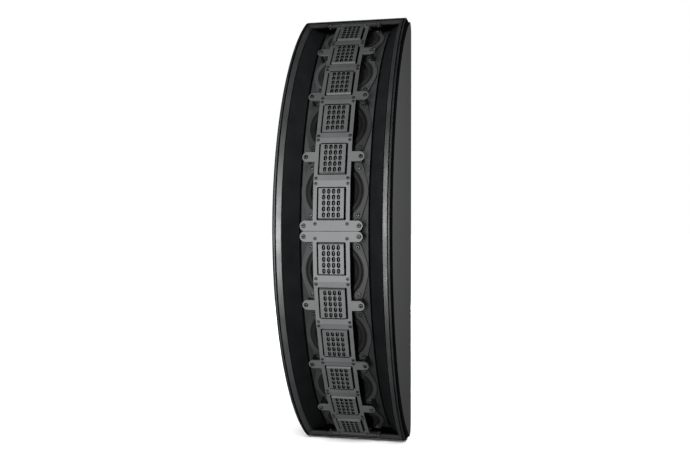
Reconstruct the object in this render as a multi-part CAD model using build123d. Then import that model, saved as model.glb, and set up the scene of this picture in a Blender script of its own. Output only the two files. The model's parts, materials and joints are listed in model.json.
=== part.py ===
from build123d import *
from math import asin, cos, degrees, radians, sin, sqrt
import os

# Curved column loudspeaker: an arc-shaped cabinet holding eight woofers behind two folded
# driver strips with twelve high-frequency modules.
# Origin: centre of the rear face. +Z is up, the front faces -Y, X runs across the width.
# All sizes are in millimetres and degrees.

# Cabinet
HEIGHT = 1000.0
WIDTH = 246.0
DEPTH = 360.0
PANEL = 12.0                  # panel thickness
REAR_CORNER_R = 12.0
FRONT_CORNER_R = 4.0
INNER_X = WIDTH / 2 - PANEL   # inner face of a side panel

# Front lip, an arc about an axis along X
LIP_R = 570.0
LIP_CENTRE_Y = LIP_R - DEPTH
LIP_INNER_X = 103.0
LIP_INNER_R = 562.0           # radius of the bevel's inner edge
LIP_BACK_R = 552.0
LIP_STEP = 3.4                # the outer edge lies this much below the bead
LIP_BEAD_X = 119.4            # outer side of the bead
LIP_GROOVE_X = 116.1          # outer side of the groove
LIP_BEVEL_X = 113.2           # crest of the bevel, inner side of the groove
LIP_GROOVE_DEPTH = 5.5
LIP_CREST = 1.6               # the bevel's crest lies this much below the bead
LIP_END_CREST = 9.0           # from the cabinet's end to the crest of the end lip
BEAD_EDGE = 0.9
LIP_END_Z = 478.0             # inner edge of the top lip
LIP_END_BACK_Y = -46.0
WELL_END_T = 1.6
WELL_END_RISE = 8.2           # the well's end wall climbs this far towards the baffle

# Array arc that the baffle and the driver strips follow
ARRAY_CENTRE_Y = 224.0
BAFFLE_R = 544.0
BAFFLE_T = 10.0
BAFFLE_HALF_W = 71.0          # between the flared walls
BAFFLE_END = 62.5             # degrees
WALL_T = 4.0
WALL_FOOT_R = 528.0

# Driver strips
STRIP_R = 579.6               # radius through the folds
STRIP_T = 3.0
STRIP_HALF_W = 38.0
STRIP_GAP = 1.0               # between the two strips
FLAT_FIRST = 103.0            # length of the flat next to the middle
FLAT_NEXT = 91.5
FLATS = 6
END_TAB = 12.0                # depth of the last cross tab, which lies on the end lip
END_TAB_R = 5.0
END_TAB_TILT = 60.0
WINDOW_W = 60.5
WINDOW_H = 67.5
WINDOW_R = 2.0
MODULE_FROM_MIDDLE = 55.8     # module centre on the first flat
EAR_HALF = 64.5
EAR_H = 21.0
EAR_SCREW_X = 57.0
# (flat, distance of the ear's centre from the flat's inner fold, height of its post's foot over
# the baffle's arc): the outer posts stand on woofer tabs, the others on the baffle
EARS = ((0, 11.0, 0.17), (1, 50.8, 0.05), (3, 10.8, 6.97), (4, 60.0, 6.29))
POST_R = 3.2
POST_HOLE_R = 1.6
END_SCREW_L = 9.0

# High-frequency modules
EXIT_W = 52.4
EXIT_H = 63.5
EXIT_PROUD = 3.0
EXIT_BEVEL = 2.4
FLANGE_W = 72.0
FLANGE_H = 89.0
FLANGE_T = 4.0
SLOT_W = 7.0
SLOT_H = 10.6
SLOT_PITCH_X = 10.1
SLOT_PITCH_Y = 12.0
SLOT_COLUMNS = 4
SLOT_ROWS = 5
SLOT_SHIFT = 0.8              # the slot field sits this far outward of the plate's centre
DRIVER_W = 66.0
DRIVER_H = 78.0
DRIVER_T = 14.0
DRIVER_MOUTH = (50.0, 60.0)
DRIVER_MOUTH_DEPTH = 5.0
MODULE_SCREW_X = 33.0
MODULE_SCREW_Y = 41.0

# Woofers, in a frame on the baffle with z out of the front
WOOFER_FIRST = 8.6            # degrees from the middle
WOOFER_PITCH = 15.1
WOOFER_ROWS = 4
FRAME_R = 70.0
TAB_R = 8.5
TAB_AT = 49.5
GASKET_T = 1.0
FRAME_TOP = 4.5               # top of the round ring
TAB_TOP = 3.4                 # top of the tabs
TAB_RIM_TOP = 4.0             # top of the narrow rim along the tabs' edge
TAB_RIM_W = 1.5
FRAME_HOLE_R = 2.3
FRAME_SCREW_R = 4.0
SEAT_Z = 3.0                  # ledge that carries the surround
SEAT_R = 61.5
MOUTH_R = 58.8
CONE_R = 47.8
FORMER_R = 13.1
FORMER_T = 0.7
BASKET_DEPTH = 39.0
MAGNET_R = 38.0

# Inside
BRACE_HEIGHTS = (-138.0, 0.0, 138.0)
BRACE_Y = -137.0
BRACE_DEPTH = 250.0
BRACE_HOLE = (140.0, 160.0, 25.0)       # width, depth, corner radius
BOARD = (170.0, 1.6, 104.0)
BOARD_Y = -22.0
BOARD_Z = 70.0
SPACER_X = 78.0
SPACER_Z = 45.0
SPACER_R = 3.5
COIL = (21.0, 9.0, 22.0)                # outer radius, inner radius, length
FILM_CAPACITOR = (8.5, 40.0)            # radius, length
RESISTOR = (10.0, 10.0, 38.0)
ELECTROLYTIC = (9.0, 26.0)              # radius, length

# Rear connections
CUP_Z = -300.0
CUP_W = 130.0
CUP_H = 100.0
CUP_DEPTH = 16.0
CUP_FLANGE_T = 2.4
CUP_FLANGE_W = 7.5
CUP_WALL = 2.5
CUP_SCREW_IN = 4.5            # from the edges of the cup's flange
CUP_SCREW_SINK = 1.2
CONNECTOR_X = 28.0
CONNECTOR_FLANGE_R = 17.5
CONNECTOR_BODY_R = 13.0
CONNECTOR_BORE_R = 11.0
CONNECTOR_CORE_R = 5.0
BOLT_X = 60.0
BOLT_Z = 200.0
BOLT_R = 4.0
END_INSERT_R = 5.0
END_INSERT_Y = -30.0
INSERT_LENGTH = 20.0
INSERT_WALL = 2.0

SIDES = (1, -1)
parts = {}


def facing(y, z, tilt, side=1):
    """Plane on the front with z outward, tilted by tilt degrees, and y away from the middle."""
    angle = radians(tilt)
    return Plane(origin=(0, y, side * z), x_dir=(side, 0, 0), z_dir=(0, -cos(angle), side * sin(angle)))


def on_arc(radius, angle, centre_y):
    return centre_y - radius * cos(radians(angle)), radius * sin(radians(angle))


def arc_y(radius, height, centre_y):
    return centre_y - sqrt(radius ** 2 - height ** 2)


def side_prism(points, half_width):
    """Prism along X over an outline of (y, z) points."""
    outline = Plane.YZ * make_face(Polyline(*points, close=True))
    return extrude(outline, amount=half_width, both=True)


def arc_prism(radius, centre_y, half_height, rear_y, half_width):
    """D-shaped prism along X: an arc in front and a flat rear."""
    edge_y = arc_y(radius, half_height, centre_y)
    front = ThreePointArc((edge_y, -half_height), (centre_y - radius, 0), (edge_y, half_height))
    rear = Polyline((edge_y, half_height), (rear_y, half_height), (rear_y, -half_height), (edge_y, -half_height))
    return extrude(Plane.YZ * make_face(front + rear), amount=half_width, both=True)


def arc_bar(profile, centre_y, half_angle):
    """Bar of constant section, given as (x, radius) points, swept about an axis along X."""
    points = [(x, centre_y - radius, 0) for x, radius in profile]
    face = make_face(Polyline(*points, close=True))
    axis = Axis((0, centre_y, 0), (1, 0, 0))
    return revolve(face.rotate(axis, half_angle), axis, revolution_arc=-2 * half_angle)


def tube(outer, inner, low, high):
    ring = Circle(outer) - Circle(inner)
    return extrude(Plane.XY.offset(low) * ring, amount=high - low)


def disc(radius, low, high):
    return extrude(Plane.XY.offset(low) * Circle(radius), amount=high - low)


def ring_of(outline):
    """Turned ring from an outline of curves drawn in the XZ plane, with x as radius."""
    return revolve(Plane.XZ * make_face(outline), Axis.Z)


def screw(head_r, head_h, shank_r, shank_l, drive_r):
    head = disc(head_r, 0, head_h)
    head = chamfer(head.edges().group_by(Axis.Z)[-1], head_h * 0.3)
    drive = extrude(Plane.XY.offset(head_h * 0.4) * RegularPolygon(drive_r, 6), amount=head_h)
    return head + disc(shank_r, -shank_l, 0) - drive


def woofer_planes():
    """The eight woofer frames, from the top of the column to the bottom."""
    angles = [WOOFER_FIRST + WOOFER_PITCH * row for row in range(WOOFER_ROWS)]
    places = [(angle, 1) for angle in reversed(angles)] + [(angle, -1) for angle in angles]
    return [facing(*on_arc(BAFFLE_R, angle, ARRAY_CENTRE_Y), angle, side) for angle, side in places]


def flat_ends():
    """(y, z) of the folds, from the middle outwards."""
    angle = 0.0
    folds = [on_arc(STRIP_R, angle, ARRAY_CENTRE_Y)]
    for index in range(FLATS):
        length = FLAT_FIRST if index == 0 else FLAT_NEXT
        angle += 2 * degrees(asin(length / 2 / STRIP_R))
        folds.append(on_arc(STRIP_R, angle, ARRAY_CENTRE_Y))
    return folds


FOLDS = flat_ends()


def flat_plane(index, along, side):
    """Frame on a flat's front face, at a distance along it from its inner fold."""
    (y0, z0), (y1, z1) = FOLDS[index], FOLDS[index + 1]
    length = sqrt((y1 - y0) ** 2 + (z1 - z0) ** 2)
    tilt = degrees(asin((y1 - y0) / length))
    share = along / length
    return facing(y0 + (y1 - y0) * share, z0 + (z1 - z0) * share, tilt, side)


def module_plane(index, side):
    return flat_plane(index, MODULE_FROM_MIDDLE if index == 0 else FLAT_NEXT / 2, side)


def module_planes():
    """The twelve module frames, from the top of the column to the bottom."""
    upper = [module_plane(index, 1) for index in reversed(range(FLATS))]
    lower = [module_plane(index, -1) for index in range(FLATS)]
    return upper + lower


def end_tab_points():
    """(y, z) of the strip's outer tab: front start, front end, back end."""
    y0, z0 = FOLDS[-1]
    angle = radians(END_TAB_TILT)
    y1, z1 = y0 + END_TAB * sin(angle), z0 + END_TAB * cos(angle)
    return (y0, z0), (y1, z1), (y1 + STRIP_T * cos(angle), z1 - STRIP_T * sin(angle))


# ---------------------------------------------------------------- cabinet
def cabinet():
    envelope = arc_prism(LIP_R, LIP_CENTRE_Y, HEIGHT / 2, 0, WIDTH / 2)
    along_x = envelope.edges().filter_by(Axis.X).group_by(Axis.Y)
    envelope = fillet(along_x[-1], REAR_CORNER_R)
    envelope = fillet(envelope.edges().filter_by(Axis.X).group_by(Axis.Y)[0], FRONT_CORNER_R)
    panel_body = arc_prism(LIP_BACK_R, LIP_CENTRE_Y, HEIGHT / 2, 0, WIDTH / 2) & envelope
    panel_x = (INNER_X + WIDTH / 2) / 2
    for side, name in ((-1, "left"), (1, "right")):
        slab = Pos(side * panel_x, -DEPTH / 2, 0) * Box(PANEL, 2 * DEPTH, HEIGHT + 20)
        parts[f"side_panel_{name}"] = panel_body & slab
    for side, name in ((1, "top"), (-1, "bottom")):
        low_y = LIP_END_BACK_Y
        board = Pos(0, low_y / 2, side * (HEIGHT - PANEL) / 2) * Box(2 * INNER_X, -low_y, PANEL)
        hole = Pos(0, END_INSERT_Y, side * HEIGHT / 2) * Cylinder(END_INSERT_R + INSERT_WALL, 4 * PANEL)
        parts[f"{name}_panel"] = (board & envelope) - hole
    rear = Pos(0, -PANEL / 2, 0) * Box(2 * INNER_X, PANEL, HEIGHT - 2 * PANEL)
    rear -= Pos(0, 0, CUP_Z) * Box(CUP_W - 14, 4 * PANEL, CUP_H - 14)
    rear -= Pos(0, 0, CUP_Z) * Box(CUP_W, 2 * (CUP_FLANGE_T + 0.1), CUP_H)
    for x in (-BOLT_X, BOLT_X):
        for z in (-BOLT_Z, BOLT_Z):
            rear -= Pos(x, 0, z) * Rot(90, 0, 0) * Cylinder(BOLT_R + INSERT_WALL, 4 * PANEL)
    parts["rear_panel"] = rear


def baffle_core(radius, half_width):
    """Everything behind one face of the curved baffle."""
    return arc_prism(radius, ARRAY_CENTRE_Y, 495, 40, half_width)


def baffle():
    sheet = baffle_core(BAFFLE_R, INNER_X) - baffle_core(BAFFLE_R - BAFFLE_T, WIDTH)
    sheet = sheet & Pos(0, -DEPTH / 2 - PANEL, 0) * Box(2 * INNER_X, DEPTH, HEIGHT - 2 * PANEL)
    for plane in woofer_planes():
        sheet -= plane * disc(SEAT_R, -3 * BAFFLE_T, 3 * BAFFLE_T)
    parts["front_baffle"] = sheet.solids().sort_by(SortBy.VOLUME)[-1]


def flared_walls():
    profile = ((LIP_INNER_X, LIP_INNER_R), (BAFFLE_HALF_W, WALL_FOOT_R),
               (BAFFLE_HALF_W + 2 * WALL_T, WALL_FOOT_R), (LIP_INNER_X, LIP_INNER_R - 2 * WALL_T))
    core = baffle_core(BAFFLE_R, WIDTH)
    middle = Pos(0, -DEPTH, 0) * Box(WIDTH, 2 * DEPTH, 2 * LIP_END_Z)
    for side, name in ((-1, "left"), (1, "right")):
        wall = arc_bar([(side * x, radius) for x, radius in profile], LIP_CENTRE_Y, BAFFLE_END)
        parts[f"flared_wall_{name}"] = ((wall - core) & middle).solids().sort_by(SortBy.VOLUME)[-1]


def well_end_points():
    """(y, z) along the underside of the well's top wall: lip, bend, baffle."""
    front = arc_y(LIP_INNER_R, LIP_END_Z, LIP_CENTRE_Y) + 2
    level = LIP_END_Z + WELL_END_RISE
    return (front, LIP_END_Z), (LIP_END_BACK_Y + 6, level), (LIP_END_BACK_Y + 27, level)


def well_ends():
    core = baffle_core(BAFFLE_R, WIDTH)
    under = well_end_points()
    over = [(y, z + WELL_END_T) for y, z in reversed(under)]
    for side, name in ((1, "top"), (-1, "bottom")):
        shelf = side_prism([(y, side * z) for y, z in list(under) + over], LIP_INNER_X) - core
        parts[f"well_end_{name}"] = shelf.solids().sort_by(SortBy.VOLUME)[-1]


def lips():
    crest_r, groove_r, step_r = LIP_R - LIP_CREST, LIP_R - LIP_GROOVE_DEPTH, LIP_R - LIP_STEP
    profile = ((LIP_INNER_X, LIP_INNER_R), (LIP_BEVEL_X, crest_r), (LIP_BEVEL_X, groove_r), (LIP_GROOVE_X, groove_r),
               (LIP_GROOVE_X, LIP_R - BEAD_EDGE), (LIP_GROOVE_X + BEAD_EDGE, LIP_R), (LIP_BEAD_X - BEAD_EDGE, LIP_R),
               (LIP_BEAD_X, LIP_R - BEAD_EDGE), (LIP_BEAD_X, step_r), (WIDTH / 2, step_r), (WIDTH / 2, LIP_BACK_R),
               (LIP_INNER_X, LIP_BACK_R))
    ends = Pos(0, -DEPTH / 2, 0) * Box(2 * WIDTH, 2 * DEPTH, HEIGHT - 1)
    for side, name in ((-1, "left"), (1, "right")):
        bar = arc_bar([(side * x, radius) for x, radius in profile], LIP_CENTRE_Y, 70)
        parts[f"lip_{name}"] = bar & ends
    under = well_end_points()
    inner = (under[0][0] - 2, LIP_END_Z)
    crest_z = HEIGHT / 2 - LIP_END_CREST
    crest = (arc_y(crest_r, crest_z, LIP_CENTRE_Y), crest_z)
    edge = (arc_y(LIP_R, HEIGHT / 2 - 2, LIP_CENTRE_Y), HEIGHT / 2 - 2)
    rise = (under[1][1] - under[0][1]) / (under[1][0] - under[0][0])
    back_z = LIP_END_Z + WELL_END_T + rise * (LIP_END_BACK_Y - under[0][0])
    tab_front, tab_end, tab_back = end_tab_points()
    slope = (tab_end[0] - tab_front[0]) / (tab_end[1] - tab_front[1])
    foot = (tab_back[0] - (tab_back[1] - LIP_END_Z) * slope, LIP_END_Z)
    for side, name in ((1, "top"), (-1, "bottom")):
        outline = [inner, crest, edge, (edge[0] + 3, HEIGHT / 2), (LIP_END_BACK_Y, HEIGHT / 2),
                   (LIP_END_BACK_Y, back_z), (under[0][0], LIP_END_Z + WELL_END_T), under[0]]
        pad = [foot, tab_back, (crest[0] - 4, tab_back[1] + 4), (under[0][0], LIP_END_Z + WELL_END_T), under[0]]
        bar = side_prism([(y, side * z) for y, z in outline], LIP_INNER_X)
        bar += side_prism([(y, side * z) for y, z in pad], EAR_HALF)
        end_plane = facing(*FOLDS[-1], END_TAB_TILT, side)
        for x in (-EAR_SCREW_X, EAR_SCREW_X):
            bar -= end_plane * Pos(x, END_TAB / 2, -STRIP_T) * Cylinder(POST_HOLE_R, 2 * END_SCREW_L)
        parts[f"lip_{name}"] = bar
        parts[f"{name}_panel"] -= parts["lip_left"] + parts["lip_right"]


# ---------------------------------------------------------------- driver strips
def strip(side):
    (first_y, _), (next_y, next_z) = FOLDS[0], FOLDS[1]
    start_z = STRIP_GAP / 2
    front = [(first_y + (next_y - first_y) * start_z / next_z, start_z)] + FOLDS[1:]
    tab_front, tab_end, tab_back = end_tab_points()
    back = []
    for fold, (y, z) in enumerate(front):
        angle = radians(fold * degrees(2 * asin(FLAT_NEXT / 2 / STRIP_R)))
        back.append((y + STRIP_T * cos(angle), start_z if fold == 0 else z - STRIP_T * sin(angle)))
    points = front + [tab_end, tab_back] + back[::-1]
    body = side_prism([(y, side * z) for y, z in points], STRIP_HALF_W)
    for index, along, _ in EARS:
        ear = extrude(SlotOverall(2 * EAR_HALF, EAR_H), amount=-STRIP_T)
        body += flat_plane(index, along, side) * ear
        for x in (-EAR_SCREW_X, EAR_SCREW_X):
            body -= flat_plane(index, along, side) * Pos(x, 0, 0) * Cylinder(POST_HOLE_R + 0.2, 4 * STRIP_T)
    end_plane = facing(*FOLDS[-1], END_TAB_TILT, side)
    cross_tab = extrude(RectangleRounded(2 * EAR_HALF, END_TAB, END_TAB_R), amount=-STRIP_T)
    body += end_plane * Pos(0, END_TAB / 2, 0) * cross_tab
    for x in (-EAR_SCREW_X, EAR_SCREW_X):
        body -= end_plane * Pos(x, END_TAB / 2, 0) * Cylinder(POST_HOLE_R + 0.2, 4 * STRIP_T)
    for index in range(FLATS):
        window = extrude(RectangleRounded(WINDOW_W, WINDOW_H, WINDOW_R), amount=3 * STRIP_T, both=True)
        for x in (-MODULE_SCREW_X, MODULE_SCREW_X):
            for y in (-MODULE_SCREW_Y, MODULE_SCREW_Y):
                window += Pos(x, y, 0) * Cylinder(1.8, 4 * STRIP_T)
        body -= module_plane(index, side) * window
    return body


def strips():
    parts["driver_strip_upper"] = strip(1)
    parts["driver_strip_lower"] = strip(-1)
    posts, ear_screws = [], []
    long_screw = screw(head_r=4.6, head_h=3.0, shank_r=POST_HOLE_R, shank_l=14, drive_r=2.3)
    short_screw = screw(head_r=4.2, head_h=2.6, shank_r=POST_HOLE_R, shank_l=END_SCREW_L, drive_r=2.1)
    for side in SIDES:
        for index, along, foot in EARS:
            plane = flat_plane(index, along, side)
            here = sqrt((ARRAY_CENTRE_Y - plane.origin.Y) ** 2 + plane.origin.Z ** 2)
            reach = here - BAFFLE_R - foot - STRIP_T
            for x in (-EAR_SCREW_X, EAR_SCREW_X):
                post = tube(POST_R, POST_HOLE_R, -STRIP_T - reach, -STRIP_T)
                posts.append(plane * Pos(x, 0, 0) * post)
                ear_screws.append(plane * Pos(x, 0, 0) * long_screw)
        for x in (-EAR_SCREW_X, EAR_SCREW_X):
            ear_screws.append(facing(*FOLDS[-1], END_TAB_TILT, side) * Pos(x, END_TAB / 2, 0) * short_screw)
    parts["strip_posts"] = Compound(posts)
    parts["socket_screws"] = Compound(ear_screws)


def modules():
    block = extrude(Plane.XY.offset(-STRIP_T) * Rectangle(EXIT_W, EXIT_H), amount=STRIP_T + EXIT_PROUD)
    rim = block.edges().group_by(Axis.Z)[-1]
    block = chamfer(rim.group_by(Axis.Y)[0], EXIT_BEVEL)
    rim = block.edges().group_by(Axis.Z)[-1]
    block = chamfer(rim.group_by(Axis.Y)[-1], 0.8)
    flange = extrude(Plane.XY.offset(-STRIP_T) * Rectangle(FLANGE_W, FLANGE_H), amount=-FLANGE_T)
    exit_plate = block + flange
    field = GridLocations(SLOT_PITCH_X, SLOT_PITCH_Y, SLOT_COLUMNS, SLOT_ROWS)
    slot = Rot(0, 0, 90) * SlotOverall(SLOT_H, SLOT_W)
    slots = Sketch() + [Pos(0, SLOT_SHIFT, 0) * place * slot for place in field]
    exit_plate -= extrude(slots, amount=30, both=True)
    for x in (-MODULE_SCREW_X, MODULE_SCREW_X):
        for y in (-MODULE_SCREW_Y, MODULE_SCREW_Y):
            exit_plate -= Pos(x, y, 0) * Cylinder(1.8, 4 * FLANGE_T)
    driver = extrude(Plane.XY.offset(-STRIP_T - FLANGE_T) * Rectangle(DRIVER_W, DRIVER_H), amount=-DRIVER_T)
    driver = chamfer(driver.edges().group_by(Axis.Z)[0], 4)
    driver -= extrude(Plane.XY.offset(-STRIP_T - FLANGE_T) * Rectangle(*DRIVER_MOUTH), amount=-DRIVER_MOUTH_DEPTH)
    for x in (-MODULE_SCREW_X, MODULE_SCREW_X):
        for y in (-MODULE_SCREW_Y, MODULE_SCREW_Y):
            driver -= Pos(x, y, 0) * Cylinder(4, 60)
    drivers, screws = [], []
    small_screw = screw(head_r=3.2, head_h=1.7, shank_r=1.6, shank_l=8, drive_r=1.4)
    for number, plane in enumerate(module_planes(), 1):
        parts[f"hf_exit_plate_{number}"] = plane * exit_plate
        drivers.append(plane * driver)
        for x in (-MODULE_SCREW_X, MODULE_SCREW_X):
            for y in (-MODULE_SCREW_Y, MODULE_SCREW_Y):
                screws.append(plane * Pos(x, y, 0) * small_screw)
    parts["hf_drivers"] = Compound(drivers)
    parts["module_screws"] = Compound(screws)


# ---------------------------------------------------------------- woofers
def frame_outline():
    edges = Circle(FRAME_R).edges()
    for x in (-TAB_AT, TAB_AT):
        for y in (-TAB_AT, TAB_AT):
            edges += (Pos(x, y) * Circle(TAB_R)).edges()
    return make_hull(edges)


def basket():
    outline = frame_outline()
    plate = extrude(Plane.XY.offset(GASKET_T) * outline, amount=TAB_TOP - GASKET_T)
    rim = outline - offset(outline, -TAB_RIM_W)
    plate += extrude(Plane.XY.offset(TAB_TOP) * rim, amount=TAB_RIM_TOP - TAB_TOP)
    plate += tube(FRAME_R - 0.5, SEAT_R, TAB_TOP, FRAME_TOP)
    plate -= disc(SEAT_R, SEAT_Z, FRAME_TOP + 1)
    plate -= disc(MOUTH_R, -1, FRAME_TOP + 1)
    waist, foot, floor_r, floor_hole_r = -8.0, 1 - BASKET_DEPTH, 37.0, 16.0
    outer_r, inner_foot_r, floor_top = SEAT_R - 0.4, floor_r - 2.4, foot + 1.5
    wall = ring_of(Polyline((outer_r, GASKET_T), (outer_r, waist), (floor_r, foot + 1), (floor_r, -BASKET_DEPTH),
                            (floor_hole_r, -BASKET_DEPTH), (floor_hole_r, floor_top), (inner_foot_r, floor_top),
                            (MOUTH_R, waist), (MOUTH_R, GASKET_T), close=True))
    opening = Pos(0, 0, -21) * Rot(0, 90, 0) * extrude(RectangleRounded(17, 26, 4), amount=90)
    for turn in range(6):
        wall -= Rot(0, 0, 60 * turn + 30) * opening
    frame = plate + wall
    for x in (-TAB_AT, TAB_AT):
        for y in (-TAB_AT, TAB_AT):
            frame -= Pos(x, y, 0) * Cylinder(FRAME_HOLE_R, 20)
            frame -= Pos(x, y, 0) * disc(FRAME_SCREW_R + 0.5, TAB_TOP, FRAME_TOP + 1)
    return frame


def dome_point(apex_z, rim_r, rim_z, r):
    """Height at radius r of a spherical cap through its apex and its rim."""
    sag = apex_z - rim_z
    sphere_r = (rim_r ** 2 + sag ** 2) / (2 * sag)
    return apex_z - sphere_r + sqrt(sphere_r ** 2 - r ** 2)


def cone():
    """Paper cone, dust cap and voice coil former, which move as one piece."""
    inner = FORMER_R - FORMER_T
    edge_z, throat_z, former_low = 0.4, -18.0, -44.0
    slope = (edge_z - throat_z) / (CONE_R - inner)
    cap_r, cap_top = 19.0, -8.0
    cap_z = throat_z + slope * (cap_r - inner)
    under_r = cap_r - 1.0
    under_z = throat_z + slope * (under_r - inner)
    outline = (ThreePointArc((0, cap_top), (cap_r / 2, dome_point(cap_top, cap_r, cap_z, cap_r / 2)), (cap_r, cap_z))
               + Polyline((cap_r, cap_z), (CONE_R, edge_z), (CONE_R, edge_z - 1.1), (FORMER_R, throat_z - 1.3),
                          (FORMER_R, former_low), (inner, former_low), (inner, throat_z), (under_r, under_z))
               + ThreePointArc((under_r, under_z), (under_r / 2, dome_point(cap_top - 1, under_r, under_z, under_r / 2)),
                               (0, cap_top - 1))
               + Line((0, cap_top - 1), (0, cap_top)))
    return ring_of(outline)


def surround():
    """Half-roll ring: its rim lies on the frame's ledge, its root hangs beside the cone's edge."""
    rim, outer, crest, root = 61.3, 58.9, 53.6, 48.2
    rim_top, crest_top, root_top, under_top = 4.3, 8.6, 3.6, 4.0
    sheet = 1.0
    outline = (Polyline((root, 0), (root, root_top))
               + ThreePointArc((root, root_top), (crest, crest_top), (outer, rim_top))
               + Polyline((outer, rim_top), (rim, rim_top), (rim, SEAT_Z), (outer, SEAT_Z), (outer - sheet, under_top))
               + ThreePointArc((outer - sheet, under_top), (crest, crest_top - sheet), (root + sheet, root_top))
               + Polyline((root + sheet, root_top), (root + sheet, 0), (root, 0)))
    return ring_of(outline)


def spider():
    inner, outer, level = FORMER_R + 0.5, 40.6, -25.0
    rings = 4
    pitch = (outer - inner) / (2 * rings)
    upper = [(inner + pitch * step, level + (1.6 if step % 2 else 0)) for step in range(2 * rings + 1)]
    lower = [(x, z - 0.8) for x, z in reversed(upper)]
    return ring_of(Polyline(*upper, *lower, close=True))


def motor():
    """Top plate, ring magnet and back plate with its pole, under the basket's floor."""
    top, plate_t, magnet_t, back_t = -BASKET_DEPTH - 0.2, 5.0, 12.0, 4.5
    plate_r, gap_r, magnet_bore_r, pole_r = 36.0, 14.1, 20.0, 11.8
    plate = tube(plate_r, gap_r, top - plate_t, top)
    low = top - plate_t - magnet_t
    magnet = tube(MAGNET_R, magnet_bore_r, low, top - plate_t)
    back = disc(plate_r, low - back_t, low) + disc(pole_r, low, top)
    back = chamfer(back.edges().group_by(Axis.Z)[0], 2)
    return [plate, magnet, back]


def woofers():
    frame, moving, roll, web = basket(), cone(), surround(), spider()
    gasket = extrude(frame_outline(), amount=GASKET_T) - disc(SEAT_R, -1, 2)
    for x in (-TAB_AT, TAB_AT):
        for y in (-TAB_AT, TAB_AT):
            gasket -= Pos(x, y, 0) * Cylinder(FRAME_HOLE_R, 20)
    fastener = screw(head_r=FRAME_SCREW_R, head_h=3.2, shank_r=2.1, shank_l=14, drive_r=2.0)
    groups = {"woofer_surrounds": [], "woofer_spiders": [], "woofer_motors": [], "woofer_gaskets": [],
              "woofer_screws": []}
    for number, plane in enumerate(woofer_planes(), 1):
        parts[f"woofer_basket_{number}"] = plane * frame
        parts[f"woofer_cone_{number}"] = plane * moving
        groups["woofer_surrounds"].append(plane * roll)
        groups["woofer_spiders"].append(plane * web)
        groups["woofer_motors"] += [plane * piece for piece in motor()]
        groups["woofer_gaskets"].append(plane * gasket)
        for x in (-TAB_AT, TAB_AT):
            for y in (-TAB_AT, TAB_AT):
                hole = plane * Pos(x, y, 0) * Cylinder(2.1, 40)
                parts["front_baffle"] -= hole
                groups["woofer_screws"].append(plane * Pos(x, y, TAB_TOP) * fastener)
    for name, pieces in groups.items():
        parts[name] = Compound(pieces)


# ---------------------------------------------------------------- inside and rear
def inside():
    hole = extrude(RectangleRounded(*BRACE_HOLE), amount=PANEL, both=True)
    brace = Box(2 * INNER_X, BRACE_DEPTH, PANEL) - hole
    parts["internal_braces"] = Compound([Pos(0, BRACE_Y, z) * brace for z in BRACE_HEIGHTS])
    board = Pos(0, BOARD_Y, BOARD_Z) * Box(*BOARD)
    board_back = BOARD_Y + BOARD[1] / 2
    for x in (-SPACER_X, SPACER_X):
        for z in (BOARD_Z - SPACER_Z, BOARD_Z + SPACER_Z):
            spacer = Cylinder(SPACER_R, -PANEL - board_back)
            board += Pos(x, (board_back - PANEL) / 2, z) * Rot(90, 0, 0) * spacer
    parts["crossover_board"] = board
    face_y = BOARD_Y - BOARD[1] / 2
    upright = Rot(90, 0, 0)
    upper, lower = BOARD_Z + 22, BOARD_Z - 28
    coil = extrude(Circle(COIL[0]) - Circle(COIL[1]), amount=COIL[2])
    can = extrude(Circle(ELECTROLYTIC[0]), amount=ELECTROLYTIC[1])
    pieces = [Pos(x, face_y, upper) * upright * coil for x in (-55, -5)]
    pieces += [Pos(x, face_y - FILM_CAPACITOR[0], upper) * Cylinder(*FILM_CAPACITOR) for x in (38, 62)]
    pieces += [Pos(x, face_y - RESISTOR[1] / 2, lower) * Box(*RESISTOR) for x in (-60, -36, -12)]
    pieces += [Pos(x, face_y, lower) * upright * can for x in (14, 40, 66)]
    parts["crossover_parts"] = Compound(pieces)


def connector():
    """Round four-pole socket, with z out of the rear and its flange's back at z 0."""
    flange_t, length, bore_floor = 3.0, 24.0, 20.0
    body = disc(CONNECTOR_FLANGE_R, 0, flange_t) + disc(CONNECTOR_BODY_R, -length, 0)
    body -= disc(CONNECTOR_BORE_R, -bore_floor, flange_t + 1)
    return body + disc(CONNECTOR_CORE_R, -bore_floor - 0.5, -4)


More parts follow.
